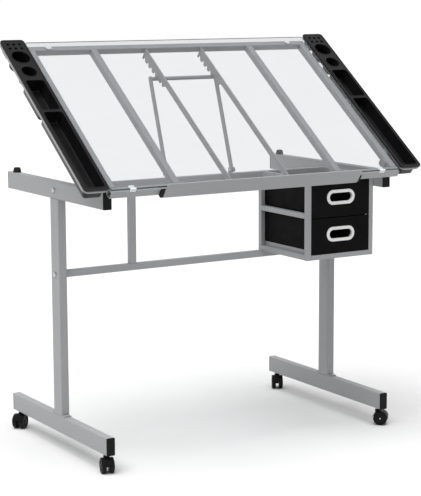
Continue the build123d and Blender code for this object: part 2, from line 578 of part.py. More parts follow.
def build_drawer(name, inside, sizes, floor):
    front_low, front_high, box_top = sizes
    x = (inside[0] + DRAWER_GAP, inside[1] - DRAWER_GAP)
    y = (UNIT_FRONT + DRAWER_FRONT_THICK, DRAWER_REAR)
    panel = block(x, (UNIT_FRONT, y[0]), (front_low, front_high))
    panel = fillet(panel.edges().filter_by(Axis.Y), 1.5)
    box_x = (x[0] + BOX_INSET, x[1] - BOX_INSET)
    box = block(box_x, y, (floor, box_top))
    box -= block((box_x[0] + DRAWER_WALL, box_x[1] - DRAWER_WALL), (y[0], y[1] - DRAWER_WALL),
                 (floor + DRAWER_WALL, box_top + 1))
    drawer = panel + box
    centre = ((x[0] + x[1]) / 2, (front_low + front_high) / 2 + GRIP_LIFT)
    opening = GRIP_LENGTH - 2 * GRIP_RING, GRIP_HEIGHT - 2 * GRIP_RING
    hole = opening[0] + GRIP_SEAT, opening[1] + GRIP_SEAT
    drawer -= stadium(centre, *hole, UNIT_FRONT - 5, 20)
    add("%s_drawer" % name, drawer)
    grip = stadium(centre, GRIP_LENGTH, GRIP_HEIGHT, UNIT_FRONT - GRIP_PROUD, GRIP_PROUD)
    grip = fillet(grip.edges().group_by(Axis.Y)[0], GRIP_ROUND)
    grip += stadium(centre, hole[0] - GRIP_FIT, hole[1] - GRIP_FIT, UNIT_FRONT - 0.1,
                    DRAWER_FRONT_THICK + GRIP_BEHIND + 0.1)
    grip -= stadium(centre, *opening, UNIT_FRONT - 10, 30)
    add("%s_drawer_grip" % name, grip)


# ---- casters -------------------------------------------------------------------------------
def caster_hood():
    """Plastic body: stem socket, a web between the wheels and a hood over their upper half."""
    axle_z = WHEEL_R - CASTER_HEIGHT
    span = WHEEL_GAP / 2 + WHEEL_WIDE
    hood = rod((0, -CASTER_TRAIL, axle_z), "X", HOOD_R, 2 * span - 2)
    hood -= rod((0, -CASTER_TRAIL, axle_z), "X", WHEEL_R + HOOD_INSIDE, 4 * span)
    hood -= block((-50, 50), (-60, 60), (axle_z - 60, axle_z + 5))
    web = rod((0, -CASTER_TRAIL, axle_z), "X", WHEEL_R + 1.0, WHEEL_GAP - 1.6)
    web -= block((-50, 50), (-60, 60), (axle_z - 60, axle_z - 7))
    socket = rod((0, 0, axle_z + 15.5), "Z", COLLAR_R, 2 * COLLAR_R)
    socket &= block((-WHEEL_GAP / 2 + 0.8, WHEEL_GAP / 2 - 0.8), (-20, 20), (axle_z, axle_z + 40))
    collar = rod((0, 0, -6.0), "Z", COLLAR_R, 5.0)
    body = hood + web + socket + collar
    body -= rod((0, -CASTER_TRAIL, axle_z), "X", AXLE_R + RUNNING, 4 * span)
    return body - rod((0, 0, -10), "Z", STEM_R + RUNNING, 28.0)


def caster_wheels():
    wheels = []
    for side in (-1, 1):
        x = side * (WHEEL_GAP + WHEEL_WIDE) / 2
        wheel = Cylinder(WHEEL_R, WHEEL_WIDE)
        wheel = fillet(wheel.edges().filter_by(GeomType.CIRCLE), WHEEL_ROUND)
        wheel -= Cylinder(AXLE_R, 4 * WHEEL_WIDE)
        ring = Cylinder(HUB_RECESS_R[0], 2 * HUB_RECESS) - Cylinder(HUB_RECESS_R[1], 2 * HUB_RECESS)
        recess = Pos(0, 0, side * WHEEL_WIDE / 2) * ring
        wheels.append(Pos(x, 0, 0) * Rot(0, 90, 0) * (wheel - recess))
    return wheels


def build_casters():
    stems = []
    for name, (right, rear, heading) in CASTERS.items():
        x = BASE_WIDTH - LEG_TUBE_WIDE / 2 if right else LEG_TUBE_WIDE / 2
        y = TUBE_LENGTH - CASTER_INSET if rear else CASTER_INSET
        place = Pos(x, y, 0) * Rot(0, 0, -heading)
        axle_place = place * Pos(0, -CASTER_TRAIL, WHEEL_R - CASTER_HEIGHT)
        add("%s_caster_hood" % name, place * caster_hood())
        add("%s_caster_wheels" % name, *(axle_place * wheel for wheel in caster_wheels()))
        axle = rod((0, 0, 0), "X", AXLE_R, WHEEL_GAP + 2 * WHEEL_WIDE - 5)
        add("%s_caster_axle" % name, axle_place * axle)
        stem = rod((0, 0, (STEM_IN_FOOT - STEM_BELOW) / 2), "Z", STEM_R, STEM_IN_FOOT + STEM_BELOW)
        stem += rod((0, 0, -STEM_DISC / 2), "Z", STEM_DISC_R, STEM_DISC)
        stems.append(place * stem)
    add("caster_stems", *stems)


# ---- everything ----------------------------------------------------------------------------
def main():
    build_base()
    build_hinges()
    build_desk_frame()
    build_racks()
    build_stay()
    build_ledge()
    build_trays()
    build_drawer_unit()
    build_casters()

    boxes = [shape.bounding_box() for shapes in PARTS.values() for shape in shapes]
    low = [min(tuple(box.min)[axis] for box in boxes) for axis in range(3)]
    high = [max(tuple(box.max)[axis] for box in boxes) for axis in range(3)]
    shift = Pos(-(low[0] + high[0]) / 2, -(low[1] + high[1]) / 2, -low[2])
    print("design frame moved by x %.3f y %.3f z %.3f" % tuple(shift.position))
    print("size x %.1f y %.1f z %.1f" % tuple(high[axis] - low[axis] for axis in range(3)))
    os.makedirs("parts", exist_ok=True)
    for name, shapes in PARTS.items():
        moved = [shift * shape for shape in shapes]
        export_step(moved[0] if len(moved) == 1 else Compound(children=moved), "parts/%s.step" % name)
    print("%d nodes" % len(PARTS))


main()
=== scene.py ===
"""Looks of the tilting drafting table: finishes, moulded parts, light and camera.

Lengths in the drawing code are millimetres. The place functions turn them into metres in the row's frame.
"""
import json
from math import cos, pi, radians, sin, tan

import bmesh
import bpy
from mathutils import Matrix, Vector


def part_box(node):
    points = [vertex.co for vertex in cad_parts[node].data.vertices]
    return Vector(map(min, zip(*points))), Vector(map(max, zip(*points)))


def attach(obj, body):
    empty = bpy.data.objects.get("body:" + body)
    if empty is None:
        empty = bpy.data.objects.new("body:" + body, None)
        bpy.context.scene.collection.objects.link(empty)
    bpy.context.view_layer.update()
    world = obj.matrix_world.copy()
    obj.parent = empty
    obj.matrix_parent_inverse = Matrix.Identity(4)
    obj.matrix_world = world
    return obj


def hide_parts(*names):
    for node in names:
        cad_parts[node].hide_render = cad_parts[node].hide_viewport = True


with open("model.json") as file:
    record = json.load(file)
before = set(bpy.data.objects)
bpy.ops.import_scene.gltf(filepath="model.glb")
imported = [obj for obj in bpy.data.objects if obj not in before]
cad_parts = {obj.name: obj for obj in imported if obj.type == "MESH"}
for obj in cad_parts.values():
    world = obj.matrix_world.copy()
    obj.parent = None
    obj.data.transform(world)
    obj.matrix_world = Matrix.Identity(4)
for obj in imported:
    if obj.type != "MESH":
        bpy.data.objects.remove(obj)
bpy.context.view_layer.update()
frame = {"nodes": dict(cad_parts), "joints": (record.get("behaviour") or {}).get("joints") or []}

MM = 0.001
NODES = frame["nodes"]
JOINTS = {joint["name"]: joint for joint in frame["joints"]}
COLLECTION = bpy.context.scene.collection


# ---- node materials --------------------------------------------------------------------------
PATTERN_RANGE = (0.3, 0.7)       # the part of a pattern's 0..1 that a ramp stretches
MIX_SOCKETS = (0, 6, 7)          # factor and the two colours of a Mix node
GRAIN_DEPTH = 0.00012            # metres


class Nodes:
    """Short calls for a material's node tree."""

    def __init__(self, name):
        self.material = bpy.data.materials.new(name)
        self.material.use_nodes = True
        self.tree = self.material.node_tree
        self.shader = self.tree.nodes["Principled BSDF"]
        self.coords = self.tree.nodes.new("ShaderNodeTexCoord").outputs["Object"]

    def new(self, kind, **inputs):
        node = self.tree.nodes.new("ShaderNode" + kind)
        for key, value in inputs.items():
            self.feed(node.inputs[key.replace("_", " ")], value)
        return node

    def feed(self, socket, value):
        if isinstance(value, bpy.types.NodeSocket):
            self.tree.links.new(value, socket)
        else:
            socket.default_value = value

    def noise(self, scale, detail=3.0, stretch=None):
        vector = self.coords
        if stretch:
            mapping = self.new("Mapping", Vector=vector)
            mapping.inputs["Scale"].default_value = stretch
            vector = mapping.outputs[0]
        return self.new("TexNoise", Vector=vector, Scale=scale, Detail=detail, Roughness=0.55).outputs["Fac"]

    def cells(self, scale):
        return self.new("TexVoronoi", Vector=self.coords, Scale=scale).outputs["Distance"]

    def ramp(self, value, low, high):
        """A 0..1 pattern stretched between two colours or two numbers."""
        if isinstance(low, (int, float)):
            node = self.new("MapRange", Value=value, To_Min=low, To_Max=high)
            node.inputs["From Min"].default_value = PATTERN_RANGE[0]
            node.inputs["From Max"].default_value = PATTERN_RANGE[1]
            return node.outputs[0]
        node = self.new("ValToRGB", Fac=value)
        for element, position, colour in zip(node.color_ramp.elements, PATTERN_RANGE, (low, high)):
            element.position = position
            element.color = (*colour, 1)
        return node.outputs[0]

    def blend(self, factor, first, second):
        node = self.new("Mix")
        node.data_type = "RGBA"
        for index, value in zip(MIX_SOCKETS, (factor, first, second)):
            self.feed(node.inputs[index], value)
        return node.outputs[2]

    def bump(self, height, strength, distance, before=None):
        node = self.new("Bump", Height=height, Strength=strength, Distance=distance)
        if before is not None:
            self.feed(node.inputs["Normal"], before)
        return node.outputs["Normal"]

    def set(self, **inputs):
        for key, value in inputs.items():
            self.feed(self.shader.inputs[key.replace("_", " ")], value)
        return self.material


def shade(colour, factor):
    return tuple(channel * factor for channel in colour)


def paint(name, colour, metallic=0.25, roughness=(0.41, 0.46)):
    """Satin metallic powder coat: faint flake, orange peel, and cloudy colour."""
    n = Nodes(name)
    cloud = n.ramp(n.noise(9.0), shade(colour, 0.95), shade(colour, 1.04))
    flake = n.ramp(n.cells(1500.0), 0.0, 1.0)
    speckled = n.blend(flake, cloud, (*shade(colour, 1.16), 1))
    peel = n.bump(n.noise(420.0, detail=2.0), 0.10, 0.0004)
    grit = n.bump(n.noise(2600.0, detail=2.0), 0.07, 0.0001, peel)
    return n.set(Base_Color=speckled, Metallic=metallic, Roughness=n.ramp(n.noise(60.0), *roughness),
                 Normal=grit, Coat_Weight=0.12, Coat_Roughness=0.3)


def moulded(name, colour, roughness=(0.34, 0.5), grain=900.0, strength=0.35, gloss=0.3):
    """Moulded plastic with a fine leather grain, rubbed a little smoother in places."""
    n = Nodes(name)
    tone = n.ramp(n.noise(14.0), shade(colour, 0.8), shade(colour, 1.3))
    pebble = n.bump(n.cells(grain), strength, GRAIN_DEPTH)
    skin = n.bump(n.noise(grain * 2.6, detail=2.0), strength * 0.4, GRAIN_DEPTH * 0.4, pebble)
    return n.set(Base_Color=tone, Roughness=n.ramp(n.noise(35.0), *roughness), Normal=skin,
                 Specular_IOR_Level=gloss)


def plated(name, colour):
    """Zinc-plated steel with faint turning marks."""
    n = Nodes(name)
    tone = n.ramp(n.noise(120.0), shade(colour, 0.86), shade(colour, 1.1))
    marks = n.bump(n.noise(900.0, detail=2.0, stretch=(1.0, 6.0, 6.0)), 0.15, 0.00008)
    return n.set(Base_Color=tone, Metallic=1.0, Roughness=n.ramp(n.noise(300.0), 0.22, 0.38), Normal=marks)


def clear_glass(name, colour):
    """Clear glass, hardly wavy. The lamp shines straight through it, so that it casts no black shadow."""
    n = Nodes(name)
    wave = n.bump(n.noise(22.0, detail=0.0), 0.002, 0.0004)
    haze = n.ramp(n.noise(26.0, detail=4.0), 0.0, 0.004)
    n.set(Base_Color=n.ramp(n.noise(5.0), shade(colour, 0.99), colour), Roughness=haze, IOR=1.5,
          Transmission_Weight=1.0, Normal=wave)
    path = n.new("LightPath")
    clear = n.new("BsdfTransparent", Color=(*colour, 1))
    mix = n.new("MixShader", Fac=path.outputs["Is Shadow Ray"])
    n.feed(mix.inputs[1], n.shader.outputs[0])
    n.feed(mix.inputs[2], clear.outputs[0])
    n.feed(n.tree.nodes["Material Output"].inputs["Surface"], mix.outputs[0])
    return n.material


def milky(name, colour):
    """Soft clear plastic, hazy all through, with a smooth skin."""
    n = Nodes(name)
    tone = n.ramp(n.noise(90.0), shade(colour, 0.96), colour)
    return n.set(Base_Color=tone, Roughness=n.ramp(n.noise(240.0), 0.2, 0.34), IOR=1.45,
                 Transmission_Weight=0.35, Normal=n.bump(n.noise(500.0), 0.1, 0.0002))


def ground_edge(name):
    """The ground edge of the glass: dark green, with lighter streaks along it."""
    n = Nodes(name)
    streak = n.noise(260.0, detail=3.0, stretch=(0.05, 1.0, 1.0))
    return n.set(Base_Color=n.ramp(streak, (0.004, 0.014, 0.012), (0.02, 0.05, 0.043)),
                 Roughness=n.ramp(n.noise(180.0), 0.18, 0.34), Specular_IOR_Level=0.8,
                 Normal=n.bump(n.noise(1400.0), 0.12, 0.0001))


def floor_paper(name):
    """White paper without any shine."""
    n = Nodes(name)
    return n.set(Base_Color=n.ramp(n.noise(3.0), (0.432, 0.432, 0.432), (0.443, 0.443, 0.443)), Roughness=0.9,
                 Specular_IOR_Level=0.0)


SILVER = (0.25, 0.2535, 0.259)
BLACK = (0.0045, 0.0045, 0.005)
MATERIALS = {
    "silver_paint": paint("silver_paint", SILVER),
    "glass": clear_glass("glass", (0.8, 0.813, 0.822)),
    "clear_plastic": milky("clear_plastic", (0.88, 0.92, 0.93)),
    "steel": plated("steel", (0.66, 0.66, 0.66)),
    "rubber": moulded("rubber", (0.011, 0.011, 0.011), roughness=(0.6, 0.75), grain=1500.0),
    "grip_silver": paint("grip_silver", (0.60, 0.60, 0.585), metallic=0.15, roughness=(0.3, 0.42)),
    "drawer_black": moulded("drawer_black", (0.0035, 0.0034, 0.0035), roughness=(0.5, 0.64),
                            grain=1300.0, strength=0.15, gloss=0.05),
    "wheel_black": moulded("wheel_black", (0.004, 0.004, 0.0043), roughness=(0.28, 0.4), grain=1600.0,
                           strength=0.2, gloss=0.17),
    "black_plastic": moulded("black_plastic", BLACK, gloss=0.14),
    "tray_black": moulded("tray_black", BLACK, roughness=(0.14, 0.22), strength=0.12, gloss=0.32),
    "glass_edge": ground_edge("glass_edge"),
}


# ---- places --------------------------------------------------------------------------------------
HINGE = Vector(JOINTS["desktop_tilt"]["pos_m"])
OUT_OF_GLASS = Vector(JOINTS["left_tray_lift"]["axis"])
UP_SLOPE = OUT_OF_GLASS.cross(Vector((1, 0, 0))).normalized()      # towards the rear tube
HALF_BASE = 480.0            # middle of the table to the outer face of a foot


def row(x, y, z):
    """A point in the row's frame."""
    return Vector((x, y, z)) * MM


def desk(x, s, n):
    """A point in the desktop's axes: x from the left foot's outside, s up the slope, n out of the glass."""
    return HINGE + Vector(((x - HALF_BASE) * MM, 0, 0)) + UP_SLOPE * (s * MM) + OUT_OF_GLASS * (n * MM)


def box_of(node):
    """Lowest and highest corner of a CAD node."""
    low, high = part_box(node)
    return low / MM, high / MM


# ---- meshes from rings of points -----------------------------------------------------------
ON_AXIS = 0.01               # radius of a turned shape's ends


def rounded(wide, long, radius, centre, steps=7):
    """Outline of a rounded rectangle."""
    points = []
    for quarter, (sx, sy) in enumerate(((1, 1), (-1, 1), (-1, -1), (1, -1))):
        cx, cy = sx * (wide / 2 - radius), sy * (long / 2 - radius)
        for step in range(steps + 1):
            angle = radians(90) * (quarter + step / steps)
            points.append((centre[0] + cx + radius * cos(angle), centre[1] + cy + radius * sin(angle)))
    return points


def circle(radius, centre=(0, 0), count=48):
    return [(centre[0] + radius * cos(2 * pi * k / count), centre[1] + radius * sin(2 * pi * k / count))
            for k in range(count)]


def inset_box(centre, wide, long, corner, least_corner=0.05, steps=7):
    """Gives a function: the outline of a rounded rectangle that is moved inwards by an offset."""
    return lambda offset: rounded(wide - 2 * offset, long - 2 * offset, max(corner - offset, least_corner),
                                  centre, steps)


def inset_circle(centre, radius, count):
    """Gives a function: the outline of a circle that is moved inwards by an offset."""
    return lambda offset: circle(radius - offset, centre, count)


def sweep(start, end, steps):
    """Evenly spaced angles between two in degrees."""
    return [radians(start + (end - start) * k / steps) for k in range(steps + 1)]


def quarter_round(centre, radius):
    """(offset, height) points of a quarter arc at the foot of a wall, from the wall to the bottom."""
    return [(centre[0] + radius * cos(angle), centre[1] + radius * sin(angle))
            for angle in sweep(180, 270, 4)]


class Shape:
    """A mesh made of rings, bridged one to the next."""

    def __init__(self, place):
        self.bm = bmesh.new()
        self.place = place

    def loop(self, points):
        """Vertices at points of the shape's own axes."""
        return [self.bm.verts.new(self.place(*point)) for point in points]

    def ring(self, outline, height):
        """A closed row of edges at one height."""
        verts = self.loop([(x, y, height) for x, y in outline])
        for k in range(len(verts)):
            self.bm.edges.new((verts[k - 1], verts[k]))
        return verts

    def bridge(self, low, high):
        for k in range(len(low)):
            self.bm.faces.new((low[k - 1], low[k], high[k], high[k - 1]))

    def cap(self, ring):
        self.bm.faces.new(ring)

    def join(self, rings, closed=False):
        """Bridges all rings. A closed row goes on to its first ring, an open one gets a cap at each end."""
        for low, high in zip(rings, rings[1:] + rings[:1] if closed else rings[1:]):
            self.bridge(low, high)
        if not closed:
            self.cap(rings[0])
            self.cap(rings[-1])

    def loft(self, outline_at, profile):
        """Rings of outline_at(offset) at each (offset, height), bridged. Gives the first and last ring."""
        rings = [self.ring(outline_at(offset), height) for offset, height in profile]
        for low, high in zip(rings, rings[1:]):
            self.bridge(low, high)
        return rings[0], rings[-1]

    def fill(self, *rings):
        """One flat face with holes in it, between the first ring and the others."""
        edges = []
        for ring in rings:
            edges += [self.bm.edges.get((ring[k - 1], ring[k])) for k in range(len(ring))]
        bmesh.ops.triangle_fill(self.bm, edges=edges, use_beauty=True)

    def finish(self, name, slot, body, *replaced, smooth, looks=()):
        """Makes a piece that rides on a body. Edges sharper than smooth degrees stay sharp."""
        bmesh.ops.recalc_face_normals(self.bm, faces=self.bm.faces)
        mesh = bpy.data.meshes.new(name)
        self.bm.to_mesh(mesh)
        self.bm.free()
        piece = bpy.data.objects.new(name, mesh)
        COLLECTION.objects.link(piece)
        for look in looks or (slot,):
            mesh.materials.append(MATERIALS[look])
        mesh.shade_smooth()
        mesh.set_sharp_from_angle(angle=radians(smooth))
        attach(piece, body)
        if replaced:
            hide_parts(*replaced)
        return piece


def turned(place, profile):
    """A closed shape of revolution from (radius, height) points."""
    shape = Shape(place)
    shape.join([shape.ring(circle(radius), height) for radius, height in profile])
    return shape


# ---- side trays: s and n are the desktop's axes, a profile is (offset inwards, n) -----------------
TRAY_MIDDLE = (-42.5, 275.0)
TRAY_SIZE = (75.0, 642.0)
TRAY_CORNER = 11.0
RIM_TOP, DECK, DECK_UNDER, RIM_BOTTOM = 42.0, 40.4, 38.6, 35.3
RIM_PROFILE = [(3.0, DECK_UNDER), (2.9, 36.2), (2.3, 35.5), (1.4, RIM_BOTTOM), (0.5, 35.5), (0.05, 36.2),
               (0.0, 37.2), (0.0, 40.6), (0.35, 41.5), (1.1, RIM_TOP), (2.4, RIM_TOP), (3.3, 41.6),
               (3.9, 40.9), (4.6, DECK)]
LIP_PROFILE = [(-1.4, DECK), (-0.9, 40.9), (-0.1, 41.5), (0.9, 41.6), (1.7, 41.3), (2.15, 40.6), (2.3, 39.6)]
POD_TAPER = tan(radians(4.0))
POD_FLOOR, POD_UNDER = 2.2, 0.0              # n of a compartment's floor and of its underside
FLOOR_ROUNDING, UNDER_ROUNDING = 4.0, 5.0
CUPS = ((518.0, 28.5), (453.0, 24.0))        # s and radius
BOXES = ((350.0, 132.0), (120.5, 315.0))     # s and length
BOX_WIDE, BOX_CORNER, BOX_LEAST_CORNER = 60.0, 12.0, 2.5
BLOCK_S, BLOCK_LONG, BLOCK_WIDE = 567.0, 38.0, 56.0
BLOCK_UNDER, BLOCK_ROUNDING = 8.0, 3.0
BLOCK_CORNER, BLOCK_LEAST_CORNER = 5.0, 1.5
BRUSH_R, BRUSH_FLOOR = 4.5, 12.0
BRUSH_PITCH = 18.0
CUP_STEPS, BRUSH_STEPS = 56, 20
BRUSH_PROFILE = [(-1.5, DECK), (-1.1, 40.9), (-0.4, 41.1), (0.1, 40.7), (0.2, 39.6), (0.5, BRUSH_FLOOR + 1.0),
                 (1.3, BRUSH_FLOOR)]


def pocket(shape, outline_at, mouth, bottom, rounding):
    """Walls that taper from a mouth's profile to a bottom with a rounded edge. Gives the mouth's ring."""
    offset, height = mouth[-1]
    foot = offset + (height - bottom - rounding) * POD_TAPER
    walls = [*mouth, (foot, bottom + rounding)]
    walls += quarter_round((foot + rounding, bottom + rounding), rounding)[1:]
    first, last = shape.loft(outline_at, walls)
    shape.cap(last)
    return first


def tray(side):
    """Moulded tray: rim, deck, two cups, two long compartments and six brush holes."""
    name = side + "_tray"
    middle = TRAY_MIDDLE[0]

    def place(x, s, n):
        return desk(2 * HALF_BASE - x if side == "right" else x, s, n)

    pods = [inset_circle((middle, s), radius, CUP_STEPS) for s, radius in CUPS]
    pods += [inset_box((middle, s), BOX_WIDE, long, BOX_CORNER, BOX_LEAST_CORNER) for s, long in BOXES]
    block = inset_box((middle, BLOCK_S), BLOCK_WIDE, BLOCK_LONG, BLOCK_CORNER, BLOCK_LEAST_CORNER)
    below_deck = [(0.0, DECK_UNDER)]

    shape = Shape(place)
    under_ring, deck_ring = shape.loft(inset_box(TRAY_MIDDLE, *TRAY_SIZE, TRAY_CORNER, steps=9), RIM_PROFILE)
    lips, skins = [], []
    for outline_at in pods:
        lips.append(pocket(shape, outline_at, LIP_PROFILE, POD_FLOOR, FLOOR_ROUNDING))
        skins.append(pocket(shape, outline_at, below_deck, POD_UNDER, UNDER_ROUNDING))
    skins.append(pocket(shape, block, below_deck, BLOCK_UNDER, BLOCK_ROUNDING))
    for line in (-0.5, 0.5):
        for column in (-1, 0, 1):
            centre = (middle + column * BRUSH_PITCH, BLOCK_S + line * BRUSH_PITCH)
            lip, end = shape.loft(inset_circle(centre, BRUSH_R, BRUSH_STEPS), BRUSH_PROFILE)
            shape.cap(end)
            lips.append(lip)
    shape.fill(deck_ring, *lips)
    shape.fill(under_ring, *skins)
    shape.finish(name + "_moulding", "black_plastic", name, name, smooth=32.0, looks=("tray_black",))


# ---- glass, its pads and stops -----------------------------------------------------------------
GLASS_UNDER, GLASS_TOP = 32.0, 37.0
GLASS_SIZE = (965.0, 635.0)
GLASS_FRONT = -46.0                                       # s of its front edge
GLASS_CORNER = 8.0
GROUND_EDGE = ((0.9, 0.0), (0.25, 0.35), (0.0, 1.1))      # (inset, depth from a face)
TUBE_TOP = 28.0                                           # n of the frame tubes' upper faces
PLACES = (("left", 65.0), ("right", 895.0))               # x of the pads and of the stops
PAD_S = 567.0
PAD_PROFILE = [(ON_AXIS, TUBE_TOP), (5.5, TUBE_TOP), (6.2, 28.3), (6.0, 29.2), (5.2, 29.9), (6.4, 30.7),
               (8.6, 31.4), (9.0, 31.8), (8.8, 31.98), (6.0, 31.9), (ON_AXIS, 31.6)]
STOP_HALF = 9.0
STOP_FACE = [(8.9, TUBE_TOP), (8.95, 31.0), (8.95, 38.0), (8.4, 39.0), (7.0, 39.45), (-7.0, 39.45),
             (-8.4, 39.0), (-8.95, 38.0), (-8.95, 31.0), (-8.9, TUBE_TOP)]
STOP_DEPTHS = ((0.9, -49.78), (0.25, -49.5), (0.0, -48.9), (0.0, -46.9), (0.3, -46.35), (0.7, -46.1))
STOP_FOOT = (17.8, 3.8, 0.6)                              # wide, thick, corner
STOP_FOOT_N = 29.95
STOP_FOOT_DEPTHS = ((0.0, -46.6), (0.0, -33.0), (0.8, -31.4), (2.4, -30.9))


def glass():
    """The sheet with its ground edge."""
    middle = (HALF_BASE, GLASS_FRONT + GLASS_SIZE[1] / 2)
    profile = [(inset, GLASS_UNDER + depth) for inset, depth in GROUND_EDGE]
    profile += [(inset, GLASS_TOP - depth) for inset, depth in reversed(GROUND_EDGE)]
    shape = Shape(desk)
    first, last = shape.loft(inset_box(middle, *GLASS_SIZE, GLASS_CORNER, steps=8), profile)
    for face in shape.bm.faces:
        face.material_index = 1
    shape.cap(first)
    shape.cap(last)
    shape.finish("glass_sheet", "glass", "desktop", "glass_top", smooth=20.0, looks=("glass", "glass_edge"))


def pads():
    """Clear suction pads under the glass: a foot on the tube, a waist and a dished cup."""
    for name, x in PLACES:
        shape = turned(lambda a, b, height, x=x: desk(x + a, PAD_S + b, height), PAD_PROFILE)
        piece = shape.finish("glass_pad_" + name, "clear_plastic", "desktop", smooth=70.0)
        if name == "left":
            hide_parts("glass_pads")


def stops():
    """Corner stops: a foot under the glass with a rounded upstand in front of the glass edge."""
    for name, x in PLACES:
        shape = Shape(lambda a, n, s, x=x: desk(x + a, s, n))
        rings = []
        for inset, s in STOP_DEPTHS:
            narrower = 1 - inset / STOP_HALF
            rings.append(shape.ring([(a * narrower, n if n == TUBE_TOP else n - inset)
                                     for a, n in STOP_FACE], s))
        shape.join(rings)
        wide, thick, corner = STOP_FOOT
        shape.join([shape.ring(rounded(wide - 2 * inset, thick, corner, (0.0, STOP_FOOT_N), steps=3), s)
                    for inset, s in STOP_FOOT_DEPTHS])
        piece = shape.finish("glass_stop_" + name, "clear_plastic", "desktop", smooth=50.0)
        if name == "left":
            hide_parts("glass_clips")


# ---- bumpers ---------------------------------------------------------------------------------------
BUMPER_R = 12.0


def bumpers():
    """Tapered rubber bumpers with a rounded, slightly dished top."""
    low, high = box_of("beam_bumpers")
    bottom, top = low.z, high.z
    y = (low.y + high.y) / 2
    profile = [(ON_AXIS, bottom), (BUMPER_R - 0.6, bottom), (BUMPER_R, bottom + 0.6), (11.9, bottom + 2.0),
               (10.9, bottom + 8.0), (9.7, top - 2.4), (8.9, top - 0.9), (7.4, top - 0.1), (5.0, top),
               (4.2, top - 0.6), (ON_AXIS, top - 0.9)]
    for name, x in (("left", low.x + BUMPER_R), ("right", high.x - BUMPER_R)):
        shape = turned(lambda a, b, height, x=x: row(x + a, y + b, height), profile)
        piece = shape.finish("bumper_" + name, "rubber", "base", smooth=60.0)
        if name == "left":
            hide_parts("beam_bumpers")


# ---- weld beads ------------------------------------------------------------------------------------
BEAD_R, BEAD_STEP, BEAD_SIDES = 1.5, 0.5, 10
RIPPLE, RIPPLE_PITCH = 0.22, 2.4             # a ripple's depth is a part of the radius
END_RADIUS, END_RUN = 0.35, 1.6              # part of the radius at an end, and the run that adds a whole one
ASKEW = Vector((0.3, 0.5, 0.8))              # lies along no seam
LEG_CORNER, POST_CORNER = 3.5, 2.5           # a bead stops this far short of a tube's corners
UNIT_POST = 15.0                             # square tube of the drawer unit


def bead(shape, start, end):
    """A rippled bead along a straight seam, tapered at both ends."""
    start, end = Vector(start), Vector(end)
    along = (end - start).normalized()
    side = along.cross(ASKEW).normalized()
    up = along.cross(side)
    count = max(int((end - start).length / BEAD_STEP), 6)
    rings = []
    for k in range(count + 1):
        from_end = min(k, count - k) * BEAD_STEP
        ripple = 1 - RIPPLE * abs(sin(pi * k * BEAD_STEP / RIPPLE_PITCH))
        radius = BEAD_R * min(1.0, END_RADIUS + from_end / END_RUN) * ripple
        centre = start.lerp(end, k / count)
        rings.append(shape.loop([centre + side * a + up * b for a, b in circle(radius, count=BEAD_SIDES)]))
    shape.join(rings)


def welds():
    """Beads where legs meet beams and foot flanges, and where posts stand on the crossbars."""
    shape = Shape(row)
    for side in ("left", "right"):
        low, high = box_of(side + "_leg")
        for y in (low.y, high.y):
            for z in (low.z, high.z):
                bead(shape, (low.x + LEG_CORNER, y, z), (high.x - LEG_CORNER, y, z))
    low, high = box_of("unit_rear_posts")
    posts = [box_of("centre_post"),
             (low, Vector((low.x + UNIT_POST, high.y, high.z))),
             (Vector((high.x - UNIT_POST, low.y, low.z)), high)]
    for low, high in posts:
        for x in (low.x, high.x):
            for z in (low.z, high.z):
                bead(shape, (x, low.y + POST_CORNER, z), (x, high.y - POST_CORNER, z))
    shape.finish("weld_beads", "silver_paint", "base", smooth=60.0)


# ---- casters: x is along the axle, y forward and z up, from the axle's middle ----------------------
WHEEL_R, WHEEL_IN, WHEEL_OUT = 21.0, 5.0, 18.0
TRAIL = 9.0                                  # the swivel's axis ahead of the axle
CASTER_TALL, COLLAR_GAP = 52.0, 3.5          # floor to foot, and the room left above the collar
COLLAR_TOP = CASTER_TALL - WHEEL_R - COLLAR_GAP
WHEEL_STEPS = 64
WHEEL_SECTION = [                            # (radius, x): bore, inner face, tread with a groove, rim and hub
    (2.6, WHEEL_IN), (18.6, WHEEL_IN), (20.2, WHEEL_IN + 0.5), (20.9, WHEEL_IN + 2.0), (WHEEL_R, 9.0),
    (20.4, 9.6), (20.4, 13.4), (WHEEL_R, 14.0), (20.9, WHEEL_OUT - 1.9), (20.2, WHEEL_OUT - 0.6),
    (18.8, WHEEL_OUT), (16.6, WHEEL_OUT), (16.0, WHEEL_OUT - 0.5), (15.4, WHEEL_OUT - 2.4),
    (8.0, WHEEL_OUT - 2.4), (7.2, WHEEL_OUT - 0.8), (6.4, WHEEL_OUT - 0.3), (2.6, WHEEL_OUT - 0.3)]
RIBS = 6
RIB_ENDS = ((6.8, 1.3, 1.2), (15.9, 1.1, 1.0))       # (radius, half width, depth below the wheel's face)
RIB_ROOT = 3.0                                        # depth of a rib's underside below that face
HOOD_SECTION = [(-16.9, 21.7), (-17.0, 22.3), (-16.5, 22.8), (-15.6, 23.0), (15.6, 23.0), (16.5, 22.8),
                (17.0, 22.3), (16.9, 21.7), (12.0, 21.65), (-12.0, 21.65)]
WEB_HALF, WEB_IN, WEB_OUT = 4.2, 2.7, 21.9            # the plate between the wheels
WEB_SECTION = [(-WEB_HALF, WEB_IN), (WEB_HALF, WEB_IN), (WEB_HALF, WEB_OUT), (-WEB_HALF, WEB_OUT)]
BOSS_SECTION = [(-WEB_HALF, WEB_IN), (WEB_HALF, WEB_IN), (WEB_HALF, 5.2), (3.6, 5.8), (-3.6, 5.8),
                (-WEB_HALF, 5.2)]
COLLAR_SECTION = [(4.1, 8.0), (7.9, 14.0), (8.0, 21.6), (8.3, 22.8), (9.4, 23.2), (8.6, 24.2),
                  (8.0, COLLAR_TOP - 0.7), (7.4, COLLAR_TOP), (4.1, COLLAR_TOP)]
NECK_HALF, NECK_TOP = 4.15, 21.0                      # between the wheels the collar is flat


